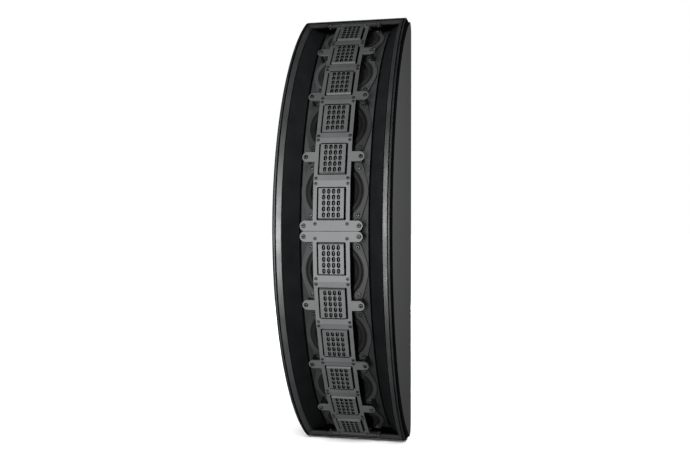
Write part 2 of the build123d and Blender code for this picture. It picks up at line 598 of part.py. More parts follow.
def input_cup():
    inner_w, inner_h = CUP_W - 2 * CUP_FLANGE_W, CUP_H - 2 * CUP_FLANGE_W
    cup = Pos(0, -CUP_FLANGE_T / 2, CUP_Z) * Box(CUP_W - 0.4, CUP_FLANGE_T, CUP_H - 0.4)
    cup += Pos(0, -CUP_DEPTH / 2, CUP_Z) * Box(inner_w, CUP_DEPTH, inner_h)
    recess = Plane.XZ * RectangleRounded(inner_w - 2 * CUP_WALL, inner_h - 2 * CUP_WALL, 4)
    cup -= Pos(0, CUP_WALL - CUP_DEPTH, CUP_Z) * extrude(recess, amount=-CUP_DEPTH)
    sockets, screws = [], []
    for x in (-CONNECTOR_X, CONNECTOR_X):
        place = Pos(x, CUP_WALL - CUP_DEPTH, CUP_Z) * Rot(-90, 0, 0)
        cup -= place * Cylinder(CONNECTOR_BODY_R + 0.2, 20)
        sockets.append(place * connector())
    small_screw = screw(head_r=3.4, head_h=1.0, shank_r=1.7, shank_l=12, drive_r=1.5)
    for x in (CUP_SCREW_IN - CUP_W / 2, CUP_W / 2 - CUP_SCREW_IN):
        for z in (CUP_SCREW_IN - CUP_H / 2, CUP_H / 2 - CUP_SCREW_IN):
            along_y = Pos(x, 0, CUP_Z + z) * Rot(90, 0, 0)
            cup -= along_y * Cylinder(1.9, 30)
            cup -= along_y * Cylinder(3.5, 2 * (CUP_FLANGE_T - CUP_SCREW_SINK))
            parts["rear_panel"] -= along_y * Cylinder(1.7, 60)
            screws.append(Pos(x, CUP_SCREW_SINK - CUP_FLANGE_T, CUP_Z + z) * Rot(-90, 0, 0) * small_screw)
    parts["input_cup"] = cup
    parts["input_connectors"] = Compound(sockets)
    parts["cup_screws"] = Compound(screws)


def rigging_inserts():
    nut_t, nut_r = 2.0, BOLT_R + 6
    sleeve = tube(BOLT_R + INSERT_WALL, BOLT_R, -INSERT_LENGTH, 0)
    sleeve += tube(nut_r, BOLT_R, -PANEL - nut_t, -PANEL)
    end_sleeve = tube(END_INSERT_R + INSERT_WALL, END_INSERT_R, 0.2 - PANEL, 0)
    places = [Pos(x, 0, z) * Rot(-90, 0, 0) for x in (-BOLT_X, BOLT_X) for z in (-BOLT_Z, BOLT_Z)]
    inserts = [place * sleeve for place in places]
    for turn, z in ((0, HEIGHT / 2), (180, -HEIGHT / 2)):
        inserts.append(Pos(0, END_INSERT_Y, z) * Rot(turn, 0, 0) * end_sleeve)
    parts["rigging_inserts"] = Compound(inserts)


def build():
    cabinet()
    baffle()
    flared_walls()
    well_ends()
    lips()
    strips()
    modules()
    woofers()
    inside()
    input_cup()
    rigging_inserts()
    os.makedirs("parts", exist_ok=True)
    for name, shape in parts.items():
        export_step(shape, f"parts/{name}.step")
    print(len(parts), "nodes")


build()
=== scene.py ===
"""Looks of the curved column loudspeaker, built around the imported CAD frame.

Sizes of the object are written in millimetres and turned into metres where a mesh is made. The
camera and the lights are placed in metres. The frame is the CAD's: origin at the centre of the
rear face, +Z up, the front faces -Y.
"""

import json
from math import asin, atan2, cos, degrees, hypot, pi, radians, sin, sqrt

import bmesh
import bpy
from mathutils import Matrix, Vector


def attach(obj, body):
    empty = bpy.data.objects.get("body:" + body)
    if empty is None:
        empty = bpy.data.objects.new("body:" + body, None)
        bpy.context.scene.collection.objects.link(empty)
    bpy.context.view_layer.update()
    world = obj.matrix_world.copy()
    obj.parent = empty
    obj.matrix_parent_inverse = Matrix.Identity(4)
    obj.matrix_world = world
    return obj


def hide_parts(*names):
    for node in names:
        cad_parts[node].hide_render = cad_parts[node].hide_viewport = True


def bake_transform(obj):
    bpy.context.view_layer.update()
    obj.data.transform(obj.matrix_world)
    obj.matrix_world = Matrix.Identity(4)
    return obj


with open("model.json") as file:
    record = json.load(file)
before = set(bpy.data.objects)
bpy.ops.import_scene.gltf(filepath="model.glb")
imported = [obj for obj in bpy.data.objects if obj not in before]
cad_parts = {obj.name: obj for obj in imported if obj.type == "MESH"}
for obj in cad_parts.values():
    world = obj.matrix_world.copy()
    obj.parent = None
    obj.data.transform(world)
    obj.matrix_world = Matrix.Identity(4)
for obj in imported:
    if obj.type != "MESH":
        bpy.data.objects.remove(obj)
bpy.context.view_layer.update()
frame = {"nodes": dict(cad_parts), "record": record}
MM = 0.001

# ---------------------------------------------------------------- sizes shared with the CAD
LIP_R = 570.0
LIP_CENTRE_Y = 210.0
HALF_W = 123.0
HALF_H = 500.0
LIP_W = 20.0
LIP_H = 22.0
LIP_BACK = 18.0
END_TRIM_BACK_Y = -46.0
ARRAY_CENTRE_Y = 224.0
BAFFLE_R = 544.0
BAFFLE_HALF_W = 71.0
LIP_INNER = (103.0, 562.0)    # the flared wall's outer edge: x, and radius about the lip's centre
WALL_FOOT_R = 528.0
WOOFER_ANGLES = [8.6 + 15.1 * row for row in range(4)]
WOOFER_SCREW = 49.5
TAB_TOP = 3.4
CONE_R = 47.8
CAP_R = 19.0
CAP_TOP = -8.0
STRIP_R = 579.6
STRIP_T = 3.0
STRIP_HALF_W = 38.0
FLATS = [103.0] + 5 * [91.5]
MODULE_ALONG = [55.8] + 5 * [91.5 / 2]
MODULE_SCREW = (33.0, 41.0)
EXIT_HALF = (26.2, 31.75)
EXIT_PROUD = 3.0
SLOT_PITCH = (10.1, 12.0)
SLOT_SHIFT = 0.8
EARS = ((0, 11.0), (1, 50.8), (3, 10.8), (4, 60.0))
EAR_SCREW_X = 57.0
EAR_HALF = 64.5
END_TAB = 12.0
END_TAB_TILT = 60.0
CUP_Z = -300.0
CUP_SCREW_X = 60.5
CUP_SCREW_Z = 45.5
CUP_SUNK = 1.2

# ---------------------------------------------------------------- sizes that only the looks have
TRIM_CORNER_R = 9.0
TRIM_BULGE = 9.0              # the trim's face stands this much further forward at the column's ends
TRIM_BULGE_POWER = 5
TRIM_STEPS = 80
# The trim's face, from the well to the side, as (distance in from the side, depth under the bead).
TRIM_FACE = ((20.6, 8.2), (8.9, 1.2), (8.7, 4.6), (6.9, 4.6), (6.8, 0), (3.7, 0), (3.6, 3.4), (0, 3.4))
TRIM_FACE_RADII = (0.7, 1.8, 0.4, 0.4, 1.3, 1.3, 0.3, 0.8)
# Where the trim is painted black as painted shade: the outer step's width, the groove's span, and its least
# depth there.
OUTER_STEP_W = 3.5
GROOVE = (6.4, 8.1)
GROOVE_DEPTH = 0.4
# The pads under the strips' end tabs: where their front runs, and how far back their rear corners lie.
PAD_ALONG = (2.2, END_TAB - 0.8)
PAD_BACK = ((16, 4), (22, 1.2))
PAD_HALF_W = EAR_HALF - 3
BEAD_HALF_ANGLE = 59.0
# A bead's section, as (distance out from the wall's foot, height over the baffle).
BEAD = ((0.6, -1), (1.4, 1.5), (-2.6, 0.9), (-3.0, -1))
SHELF_INNER_X = 36.0
SHELF_FRONT = (103.5, 478.4)  # x and z of a shelf's outer corner at its front, then at its back
SHELF_BACK = (72.0, 476.0)
SHELF_BACK_Y = -39.0
SHELF_T = 1
BACK_CORNER_R = 24.0
BACK_CORNER_CUTS = 6
WASHER_T = 0.3
DRIVE_POINTS = 24
CONE_STEPS = 55
CAP_STEPS = 12
TURNED_STEPS = 96


def facing(y, z, tilt, side=1):
    """Place on the front with z outward, tilted by tilt degrees, and y away from the middle, in mm."""
    a = radians(tilt)
    x_dir = Vector((side, 0, 0))
    z_dir = Vector((0, -cos(a), side * sin(a)))
    place = Matrix((x_dir, z_dir.cross(x_dir), z_dir)).transposed().to_4x4()
    place.translation = Vector((0, y, side * z))
    return place


def on_arc(radius, angle):
    return ARRAY_CENTRE_Y - radius * cos(radians(angle)), radius * sin(radians(angle))


def fold_points():
    angle, found = 0.0, [on_arc(STRIP_R, 0)]
    for length in FLATS:
        angle += 2 * degrees(asin(length / 2 / STRIP_R))
        found.append(on_arc(STRIP_R, angle))
    return found


FOLDS = fold_points()


def flat_place(index, along, side):
    """Place on a flat of a driver strip, at a distance along it from its inner fold."""
    (y0, z0), (y1, z1) = FOLDS[index], FOLDS[index + 1]
    share = along / hypot(y1 - y0, z1 - z0)
    tilt = degrees(atan2(y1 - y0, z1 - z0))
    return facing(y0 + (y1 - y0) * share, z0 + (z1 - z0) * share, tilt, side)


def module_places():
    """The twelve modules' places, from the top of the column to the bottom."""
    upper = [flat_place(i, MODULE_ALONG[i], 1) for i in reversed(range(len(FLATS)))]
    return upper + [flat_place(i, MODULE_ALONG[i], -1) for i in range(len(FLATS))]


def woofer_places():
    """The eight woofers' places on the baffle, from the top of the column to the bottom."""
    found = [facing(*on_arc(BAFFLE_R, angle), angle, 1) for angle in reversed(WOOFER_ANGLES)]
    return found + [facing(*on_arc(BAFFLE_R, angle), angle, -1) for angle in WOOFER_ANGLES]


# ---------------------------------------------------------------- materials
def new_material(name):
    m = bpy.data.materials.new(name)
    m.use_nodes = True
    return m, m.node_tree.nodes["Principled BSDF"]


def noise_node(nodes, scale, detail):
    noise = nodes.new("ShaderNodeTexNoise")
    noise.inputs["Scale"].default_value = scale
    noise.inputs["Detail"].default_value = detail
    return noise


def finish_of(name, dark, light, rough, metallic=0.0, specular=0.5, grain=1500.0, depth=0.1,
              patch=25.0, rough_swing=0.08, stretch=(1, 1, 1)):
    """Painted, moulded or cast surface: grain in the relief, soft patches in colour and gloss.
    grain and patch are feature counts per metre, depth is the relief in mm."""
    m, shader = new_material(name)
    nodes, links = m.node_tree.nodes, m.node_tree.links
    shader.inputs["Metallic"].default_value = metallic
    shader.inputs["Specular IOR Level"].default_value = specular
    where = nodes.new("ShaderNodeTexCoord")
    mapping = nodes.new("ShaderNodeMapping")
    mapping.inputs["Scale"].default_value = stretch
    links.new(where.outputs["Object"], mapping.inputs["Vector"])
    fine = noise_node(nodes, grain, 3)
    broad = noise_node(nodes, patch, 4)
    for noise in (fine, broad):
        links.new(mapping.outputs["Vector"], noise.inputs["Vector"])
    mix = nodes.new("ShaderNodeMath")
    mix.operation = "MULTIPLY_ADD"
    mix.inputs[1].default_value = 0.35
    links.new(fine.outputs["Fac"], mix.inputs[0])
    links.new(broad.outputs["Fac"], mix.inputs[2])
    colours = nodes.new("ShaderNodeValToRGB")
    for stop, position, colour in zip(colours.color_ramp.elements, (0.4, 0.95), (dark, light)):
        stop.position = position
        stop.color = (*colour, 1)
    links.new(mix.outputs[0], colours.inputs["Fac"])
    links.new(colours.outputs["Color"], shader.inputs["Base Color"])
    gloss = nodes.new("ShaderNodeMapRange")
    gloss.inputs["From Min"].default_value = 0.3
    gloss.inputs["From Max"].default_value = 0.7
    gloss.inputs["To Min"].default_value = rough - rough_swing
    gloss.inputs["To Max"].default_value = rough + rough_swing
    links.new(broad.outputs["Fac"], gloss.inputs["Value"])
    links.new(gloss.outputs["Result"], shader.inputs["Roughness"])
    bump = nodes.new("ShaderNodeBump")
    bump.inputs["Strength"].default_value = 0.6
    bump.inputs["Distance"].default_value = depth * MM
    links.new(fine.outputs["Fac"], bump.inputs["Height"])
    links.new(bump.outputs["Normal"], shader.inputs["Normal"])
    return m


def greys(dark, light, tint=0.0):
    """Two greys, with tint taken from their red and given to their blue."""
    return [(value * (1 - tint), value, value * (1 + tint)) for value in (dark, light)]


# Each material's two colours, its roughness, and what else it has.
FINISHES = {
    "cabinet_paint": (*greys(0.018, 0.026, 0.03), 0.5,
                      dict(depth=0.25, grain=900, patch=160, rough_swing=0.03)),
    "lip_plastic": (*greys(0.016, 0.023, 0.03), 0.45, {}),
    "well_plastic": (*greys(0.009, 0.013, 0.08), 0.6, dict(specular=0.22, depth=0.15)),
    # The near-black finish below is painted shade: it goes on gaps, recesses, pockets and corners where shade
    # falls.
    "painted_shade_black": (*greys(0.0015, 0.003), 0.9, dict(specular=0.02)),
    "baffle_paint": (*greys(0.023, 0.033, 0.02), 0.6, dict(specular=0.35, depth=0.25, grain=900)),
    "strip_metal": (*greys(0.275, 0.335, 0.012), 0.7,
                    dict(metallic=0.8, depth=0.05, grain=2500, rough_swing=0.03)),
    "exit_plate": (*greys(0.26, 0.32, 0.012), 0.68,
                   dict(metallic=0.8, depth=0.04, grain=2500, rough_swing=0.03)),
    "fin": (*greys(0.10, 0.14), 0.5, dict(depth=0.03)),
    "hf_housing": (*greys(0.002, 0.004), 0.8, dict(specular=0.04)),
    "frame_metal": (*greys(0.045, 0.06, 0.02), 0.5, dict(specular=0.4)),
    "cone_paper": (*greys(0.018, 0.028), 0.7, dict(specular=0.3, depth=0.3, grain=700)),
    "surround_rubber": (*greys(0.012, 0.018), 0.6, dict(specular=0.25, depth=0.05)),
    "spider_cloth": ((0.30, 0.18, 0.07), (0.42, 0.27, 0.12), 0.85, dict(depth=0.3)),
    "magnet": (*greys(0.02, 0.05), 0.5, dict(metallic=0.3)),
    "gasket_foam": (*greys(0.008, 0.014), 0.9, dict(depth=0.3)),
    "screw_steel": (*greys(0.12, 0.18), 0.5, dict(metallic=0.8, depth=0.02)),
    "post_metal": (*greys(0.03, 0.05), 0.35, dict(metallic=0.8, depth=0.02)),
    "brace_ply": ((0.42, 0.27, 0.13), (0.6, 0.42, 0.22), 0.6, dict(stretch=(1, 8, 40), depth=0.2)),
    "board": ((0.01, 0.06, 0.02), (0.015, 0.09, 0.03), 0.35, {}),
    "board_parts": ((0.2, 0.07, 0.02), (0.3, 0.12, 0.04), 0.35, dict(stretch=(1, 1, 20))),
    "cup_plastic": (*greys(0.012, 0.018), 0.5, dict(depth=0.15)),
    "connector": (*greys(0.008, 0.013), 0.4, dict(depth=0.05)),
    "insert_steel": (*greys(0.35, 0.5), 0.35, dict(metallic=1.0, depth=0.02)),
}
MATERIALS = {name: finish_of(name, *basics, **more) for name, (*basics, more) in FINISHES.items()}


def coat(obj, slot_name, looks=None):
    """Gives the object its slot's material, or the one that looks names."""
    obj.data.materials.clear()
    obj.data.materials.append(MATERIALS[looks or slot_name])


slot_of = {part["node"]: part["material_slot"] for part in frame["record"]["subparts"]}
# Painted shade: the well ends take the near-black finish, for the dark pockets at the column's ends.
for node_name, node in frame["nodes"].items():
    coat(node, slot_of[node_name], "painted_shade_black" if node_name.startswith("well_end") else None)


# ---------------------------------------------------------------- piece making
def finish_piece(name, bm, slot_name, body, nodes=(), crease=32, looks=None):
    """Turns bm, in metres, into a piece that rides on body and stands for the CAD nodes."""
    data = bpy.data.meshes.new(name)
    bm.to_mesh(data)
    bm.free()
    data.shade_smooth()
    data.set_sharp_from_angle(angle=radians(crease))
    obj = bpy.data.objects.new(name, data)
    bpy.context.scene.collection.objects.link(obj)
    coat(obj, slot_name, looks)
    even = obj.modifiers.new("even_normals", "WEIGHTED_NORMAL")
    even.keep_sharp = True
    even.weight = 80
    if body:
        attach(obj, body)
    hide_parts(*nodes)
    return obj


def soften(bm, width, segments=2, low=28, high=181):
    """Rounds every edge that turns by low to high degrees; width in mm."""
    edges = [e for e in bm.edges if len(e.link_faces) == 2 and low < degrees(e.calc_face_angle(0)) < high]
    bmesh.ops.bevel(bm, geom=edges, offset=width * MM, offset_type="OFFSET", segments=segments,
                    profile=0.5, affect="EDGES", clamp_overlap=True)


def copy_of(node_name):
    """A copy of a CAD node's mesh with its flats merged."""
    bm = bmesh.new()
    bm.from_mesh(frame["nodes"][node_name].data)
    bmesh.ops.remove_doubles(bm, verts=bm.verts, dist=2e-6)
    bmesh.ops.dissolve_limit(bm, angle_limit=radians(0.4), verts=bm.verts, edges=bm.edges)
    return bm


def refined(name, node_name, width, segments=2, bend_width=0.0):
    """A piece like a CAD node, with rolled bends and rounded edges."""
    bm = copy_of(node_name)
    if bend_width:
        soften(bm, bend_width, 3, 5, 20)
    soften(bm, width, segments)
    return finish_piece(name, bm, slot_of[node_name], "root", [node_name])


def rounded(points, radii, steps=3):
    """Closed outline with each corner turned into a small curve of about the given radius."""
    result = []
    for i, (corner, radius) in enumerate(zip(points, radii)):
        p = Vector(corner)
        before, after = Vector(points[i - 1]) - p, Vector(points[(i + 1) % len(points)]) - p
        half = before.angle(after) / 2
        reach = min(radius * cos(half) / max(0.01, sin(half)), 0.45 * before.length, 0.45 * after.length)
        a, b = p + before.normalized() * reach, p + after.normalized() * reach
        for step in range(steps + 1):
            t = step / steps
            result.append(tuple(a * (1 - t) ** 2 + p * (2 * t * (1 - t)) + b * t ** 2))
    return result


def turned(bm, place, outline, segments):
    """Adds a ring turned about place's z axis from a closed outline of (radius, z), in mm."""
    rings = []
    for radius, z in outline:
        turns = [2 * pi * k / segments for k in range(segments)] if radius > 1e-6 else [0]
        points = [Vector((radius * cos(a), radius * sin(a), z)) for a in turns]
        rings.append([bm.verts.new(place @ point * MM) for point in points])
    for low, high in zip(rings, rings[1:] + rings[:1]):
        if len(low) == len(high) == 1:
            continue
        for k in range(segments):
            n = (k + 1) % segments
            corners = ([low[k], low[n]] if len(low) > 1 else [low[0]])
            corners += ([high[n], high[k]] if len(high) > 1 else [high[0]])
            bm.faces.new(corners)


def skin(bm, rows):
    """Joins equal closed rows of points, in mm, into a solid bar with caps on its ends."""
    made = [[bm.verts.new(Vector(p) * MM) for p in row] for row in rows]
    count = len(rows[0])
    for low, high in zip(made, made[1:]):
        for k in range(count):
            n = (k + 1) % count
            bm.faces.new((low[k], low[n], high[n], high[k]))
    bm.faces.new(made[0][::-1])
    bm.faces.new(made[-1])


def tidy(bm):
    bmesh.ops.remove_doubles(bm, verts=bm.verts, dist=1e-6)
    bmesh.ops.recalc_face_normals(bm, faces=bm.faces)


# ---------------------------------------------------------------- front trim
def bulge_at(z):
    """How much further forward the trim's face stands at a height z."""
    return TRIM_BULGE * (abs(z) / HALF_H) ** TRIM_BULGE_POWER


def trim_y(depth, z):
    """The trim's y at a depth under its bead and a height z."""
    bulge = bulge_at(z) if depth < LIP_BACK else 0.0
    return LIP_CENTRE_Y - sqrt((LIP_R - depth) ** 2 - z * z) - bulge


def trim_point(inset, depth, bend):
    """Point of the trim at the upper right corner, bend degrees round from the side to the top."""
    r = max(0.0, TRIM_CORNER_R - inset)
    x = HALF_W - inset - r + r * cos(radians(bend))
    z = HALF_H - (LIP_H / LIP_W) * (inset + r - r * sin(radians(bend)))
    return x, trim_y(depth, z), z


def finish_trim(name, bm):
    """Makes a trim whose outer step and groove are painted black as painted shade; the step's level faces
    keep the trim's colour.
    """
    tidy(bm)
    trim = finish_piece(f"trim_{name}", bm, "lip_plastic", "root", [f"lip_{name}"])
    trim.data.materials.append(MATERIALS["painted_shade_black"])
    for face in trim.data.polygons:
        at = face.center / MM
        inset = min(HALF_W - abs(at.x), (HALF_H - abs(at.z)) * LIP_W / LIP_H)
        depth = LIP_R - hypot(LIP_CENTRE_Y - bulge_at(at.z) - at.y, at.z)
        # Painted shade: the outer step stands for the shadow gap beside the side panel, the groove for the
        # shade in it.
        painted_shade_step = inset < OUTER_STEP_W and abs(face.normal.z) < 0.9
        painted_shade_groove = GROOVE[0] < inset < GROOVE[1] and depth > GROOVE_DEPTH
        if painted_shade_step or painted_shade_groove:
            face.material_index = 1


def side_trim(name, side, front):
    section = front + [(0, LIP_BACK), (LIP_W, LIP_BACK)]
    ends = [[trim_point(u, d, bend) for u, d in section] for bend in (45, 34, 22, 11, 0)]
    rows = [[(side * x, y, z) for x, y, z in row] for row in ends]
    for step in range(1, TRIM_STEPS):
        share = 1 - 2 * step / TRIM_STEPS
        rows.append([(side * x, trim_y(d, top * share), top * share)
                     for (_, d), (x, _, top) in zip(section, ends[-1])])
    rows += [[(side * x, y, -z) for x, y, z in row] for row in reversed(ends)]
    bm = bmesh.new()
    skin(bm, rows)
    finish_trim(name, bm)


def end_pad(bm, side):
    """Adds the pad that carries a driver strip's end tab."""
    tilt = radians(END_TAB_TILT)
    run, back = Vector((sin(tilt), cos(tilt))), Vector((cos(tilt), -sin(tilt)))
    near, far = [Vector(FOLDS[-1]) + back * STRIP_T + run * along for along in PAD_ALONG]
    pad = rounded([near, far, far + Vector(PAD_BACK[0]), near + Vector(PAD_BACK[1])], (0.6, 0.6, 0.2, 0.2), 2)
    skin(bm, [[(x, y, side * z) for y, z in pad] for x in (-PAD_HALF_W, PAD_HALF_W)])


def end_trim(name, side, front):
    rows = []
    for bend in (45, 56, 68, 79, 90):
        row = [trim_point(u, d, bend) for u, d in front]
        outer, inner = trim_point(0, LIP_BACK, bend), trim_point(LIP_W, LIP_BACK, bend)
        rows.append(row + [(x, END_TRIM_BACK_Y, z) for x, _, z in (outer, inner)])
    rows += [[(-x, y, z) for x, y, z in row] for row in reversed(rows)]
    bm = bmesh.new()
    skin(bm, [[(x, y, side * z) for x, y, z in row] for row in rows])
    end_pad(bm, side)
    finish_trim(name, bm)


# ---------------------------------------------------------------- well and cabinet
def wall_x(y, z):
    """The flared wall's x at a place on the baffle."""
    share = (hypot(LIP_CENTRE_Y - y, z) - WALL_FOOT_R) / (LIP_INNER[1] - WALL_FOOT_R)
    return BAFFLE_HALF_W + (LIP_INNER[0] - BAFFLE_HALF_W) * max(0.0, share)


def corner_shade_beads():
    """Black beads of painted shade in the corners between the baffle and the flared walls."""
    bm = bmesh.new()
    for side in (-1, 1):
        rows = []
        for step in range(TRIM_STEPS + 1):
            angle = -BEAD_HALF_ANGLE + 2 * BEAD_HALF_ANGLE * step / TRIM_STEPS
            foot = wall_x(*on_arc(BAFFLE_R, angle))
            rows.append([(side * (foot + out), *on_arc(BAFFLE_R + up, angle)) for out, up in BEAD])
        skin(bm, rows)
    tidy(bm)
    finish_piece("corner_shade_beads", bm, "well_plastic", "root", looks="painted_shade_black")


def well_shade_shelves():
    """Almost level black shelves of painted shade between the end trims and the baffle, on both sides of the
    strips, where the wells' ends lie in shade.
    """
    bm = bmesh.new()
    front_y = LIP_CENTRE_Y - sqrt(LIP_INNER[1] ** 2 - (HALF_H - LIP_H) ** 2)
    (front_x, front_z), (back_x, back_z) = SHELF_FRONT, SHELF_BACK
    corners = ((SHELF_INNER_X, front_y, front_z), (front_x, front_y, front_z),
               (back_x, SHELF_BACK_Y, back_z), (SHELF_INNER_X, SHELF_BACK_Y, back_z))
    for side in (-1, 1):
        for end in (-1, 1):
            skin(bm, [[(side * x, y, end * (z + up)) for x, y, z in corners] for up in (0, SHELF_T)])
    tidy(bm)
    finish_piece("well_shade_shelves", bm, "well_plastic", "root", looks="painted_shade_black")


def round_back(bm):
    """Turns the corners where the top and bottom meet the rear into large curves."""
    reach = BACK_CORNER_R * MM
    for side in (-1, 1):
        centre = Vector((0, -BACK_CORNER_R, side * (HALF_H - BACK_CORNER_R))) * MM
        for step in range(BACK_CORNER_CUTS + 1):
            angle = radians(90 * step / BACK_CORNER_CUTS)
            parts = bm.verts[:] + bm.edges[:] + bm.faces[:]
            bmesh.ops.bisect_plane(bm, geom=parts, dist=1e-6, plane_co=centre,
                                   plane_no=(0, -sin(angle), side * cos(angle)))
        for v in bm.verts:
            out = v.co - centre
            out.x = 0
            if out.y > 0 and out.z * side > 0 and out.length > reach:
                v.co += out.normalized() * (reach - out.length)


def panel_shell(node_name):
    """Cabinet panel with large curves where it meets the rear, and softened edges."""
    bm = copy_of(node_name)
    round_back(bm)
    soften(bm, 1.0, 3)
    finish_piece(f"{node_name}_shell", bm, slot_of[node_name], "root", [node_name])


def cabinet():
    front = rounded(TRIM_FACE, TRIM_FACE_RADII)
    side_trim("left", -1, front)
    side_trim("right", 1, front)
    end_trim("top", 1, front)
    end_trim("bottom", -1, front)
    corner_shade_beads()
    well_shade_shelves()
    for node_name in ("side_panel_left", "side_panel_right", "top_panel", "bottom_panel", "rear_panel"):
        panel_shell(node_name)
    edges = {"input_cup": 0.5, "rigging_inserts": 0.3, "hf_drivers": 0.8, "strip_posts": 0.3}
    for node_name, width in edges.items():
        refined(f"{node_name}_shell", node_name, width)


# ---------------------------------------------------------------- driver strips and modules
def slot_fins(number, place):
    """Upright fins that stand inside a plate's slots, a little below its face."""
    bm = bmesh.new()
    wide, tall, top, low = 0.95, 3.1, EXIT_PROUD - 1.6, -5.0
    outline = rounded([(-wide, -tall), (wide, -tall), (wide, tall), (-wide, tall)], 4 * [0.9], 4)
    levels = ((low, 1.0), (top - 0.5, 1.0), (top, 0.7))    # heights, and the outline's size there
    for column in (-1.5, -0.5, 0.5, 1.5):
        for row in (-2, -1, 0, 1, 2):
            x, y = column * SLOT_PITCH[0], row * SLOT_PITCH[1] + SLOT_SHIFT
            skin(bm, [[place @ Vector((x + u * k, y + v * k, z)) for u, v in outline] for z, k in levels])
    tidy(bm)
    finish_piece(f"slot_fins_{number}", bm, "hf_housing", "root", looks="fin")


def plate_gap_shade():
    """Thin black strips of painted shade on the plates' edges away from the middle of the column, where the
    gap beside each plate lies in shadow.
    """
    bm = bmesh.new()
    half, low, high = EXIT_HALF[0] - 0.3, -2.0, EXIT_PROUD + 0.15
    near, far = EXIT_HALF[1] + 0.05, EXIT_HALF[1] + 1.65
    outline = rounded([(near, low), (far, low), (far, high), (near, high)], (0.1, 0.1, 0.4, 0.1), 2)
    for place in module_places():
        skin(bm, [[place @ Vector((x, y, z)) for y, z in outline] for x in (-half, half)])
    tidy(bm)
    finish_piece("plate_gap_shade", bm, "hf_housing", "root", looks="painted_shade_black")


def exit_plate(number, place):
    """Slotted plate, painted black in its slots and on its sides as painted shade, with a duller chamfer
    towards the middle.
    """
    plate = refined(f"exit_plate_{number}", f"hf_exit_plate_{number}", 0.3, 1)
    plate.data.materials.append(MATERIALS["hf_housing"])
    plate.data.materials.append(MATERIALS["fin"])
    inward = place.inverted()
    turn = inward.to_3x3()
    for face in plate.data.polygons:
        at, normal = inward @ (face.center / MM), turn @ face.normal
        inside = abs(at.x) < EXIT_HALF[0] - 1 and abs(at.y) < EXIT_HALF[1] - 1
        if normal.y < -0.5 and normal.z > 0.2:
            face.material_index = 2
        # Painted shade: slot walls, sides and the faces below the strip's face take the near-black housing
        # finish.
        if at.z < 0.05 - STRIP_T or (inside and abs(normal.z) < 0.5) or abs(normal.x) > 0.9:
            face.material_index = 1


def strip_sheet(half):
    """Folded sheet of a driver strip; the ears of its end tab are painted like the trim."""
    sheet = refined(f"{half}_strip_sheet", f"driver_strip_{half}", 0.45, bend_width=2.0)
    sheet.data.materials.append(MATERIALS["lip_plastic"])
    for face in sheet.data.polygons:
        at = face.center / MM
        if abs(at.z) > FOLDS[-1][1] - 4 and abs(at.x) > STRIP_HALF_W + 0.2:
            face.material_index = 1


def strips():
    strip_sheet("upper")
    strip_sheet("lower")
    plate_gap_shade()
    for number, place in enumerate(module_places(), 1):
        exit_plate(number, place)
        slot_fins(number, place)


# ---------------------------------------------------------------- fasteners
def drive_outline(kind, size):
    """Points round a screw's drive: a hexagon or a cross."""
    if kind == "hex":
        corners = [Vector((size * cos(pi * k / 3), size * sin(pi * k / 3))) for k in range(6)]
    else:
        wide = size * 0.3
        arm = ((size, -wide), (size, wide), (wide, wide))
        quarters = [Matrix.Rotation(radians(90 * k), 2) for k in range(4)]
        corners = [quarter @ Vector(c) for quarter in quarters for c in arm]
    per = DRIVE_POINTS // len(corners)
    return [a.lerp(b, step / per) for a, b in zip(corners, corners[1:] + corners[:1]) for step in range(per)]


def fastener(bm, place, kind, head, shank, drive):
    """Screw with a rounded head and its drive sunk into it, the drive's recess painted black as painted
    shade; head and shank are (radius, height) in mm.
    """
    (head_r, head_h), (shank_r, shank_l) = head, shank
    points = drive_outline(kind, drive)
    first = atan2(points[0].y, points[0].x)
    ring = [first + 2 * pi * k / DRIVE_POINTS for k in range(DRIVE_POINTS)]
    levels = [(shank_r, -shank_l), (shank_r, 0), (head_r * 0.97, 0), (head_r, head_h * 0.15),
              (head_r, head_h * 0.55), (head_r * 0.96, head_h * 0.8), (head_r * 0.86, head_h * 0.95),
              (head_r * 0.72, head_h)]
    recess = ((1.06, head_h), (0.98, head_h * 0.9), (0.9, head_h * 0.35))
    rows = [[Vector((r * cos(a), r * sin(a), z)) for a in ring] for r, z in levels]
    rows += [[Vector((p.x * k, p.y * k, z)) for p in points] for k, z in recess]
    made = [[bm.verts.new(place @ p * MM) for p in row] for row in rows]
    for number, (low, high) in enumerate(zip(made, made[1:])):
        for k in range(DRIVE_POINTS):
            n = (k + 1) % DRIVE_POINTS
            face = bm.faces.new((low[k], low[n], high[n], high[k]))
            # The drive's recess takes material 1, near black, as painted shade.
            face.material_index = 1 if number > len(levels) - 1 else 0
    bm.faces.new(made[0][::-1])
    floor = bm.verts.new(place @ Vector((0, 0, head_h * 0.25)) * MM)
    for k in range(DRIVE_POINTS):
        bm.faces.new((made[-1][k], made[-1][(k + 1) % DRIVE_POINTS], floor)).material_index = 1


def fasteners(name, node_name, places, kind, head, shank, drive, washer):
    """Screws on washers of radius washer, painted black as painted shade round the heads, at all the places,
    each turned a little differently.
    """
    bm = bmesh.new()
    inner = shank[0]
    ring = rounded([(inner, 0), (washer, 0), (washer, WASHER_T), (inner, WASHER_T)], (0.1, 0.1, 0.2, 0.1), 2)
    for number, place in enumerate(places):
        before = len(bm.faces)
        turned(bm, place, ring, 32)
        bm.faces.ensure_lookup_table()
        # The washer takes material 1, near black, as painted shade round the head.
        for face in bm.faces[before:]:
            face.material_index = 1
        spin = Matrix.Rotation(radians(37 * number % 60), 4, "Z")
        fastener(bm, place @ Matrix.Translation((0, 0, WASHER_T)) @ spin, kind, head, shank, drive)
    tidy(bm)
    which = [face.material_index for face in bm.faces]
    made = finish_piece(name, bm, "screw_steel", "root", [node_name])
    made.data.materials.append(MATERIALS["painted_shade_black"])
    made.data.polygons.foreach_set("material_index", which)


def corners_of(x, y, z=0.0):
    return [Matrix.Translation((i * x, j * y, z)) for i in (-1, 1) for j in (-1, 1)]


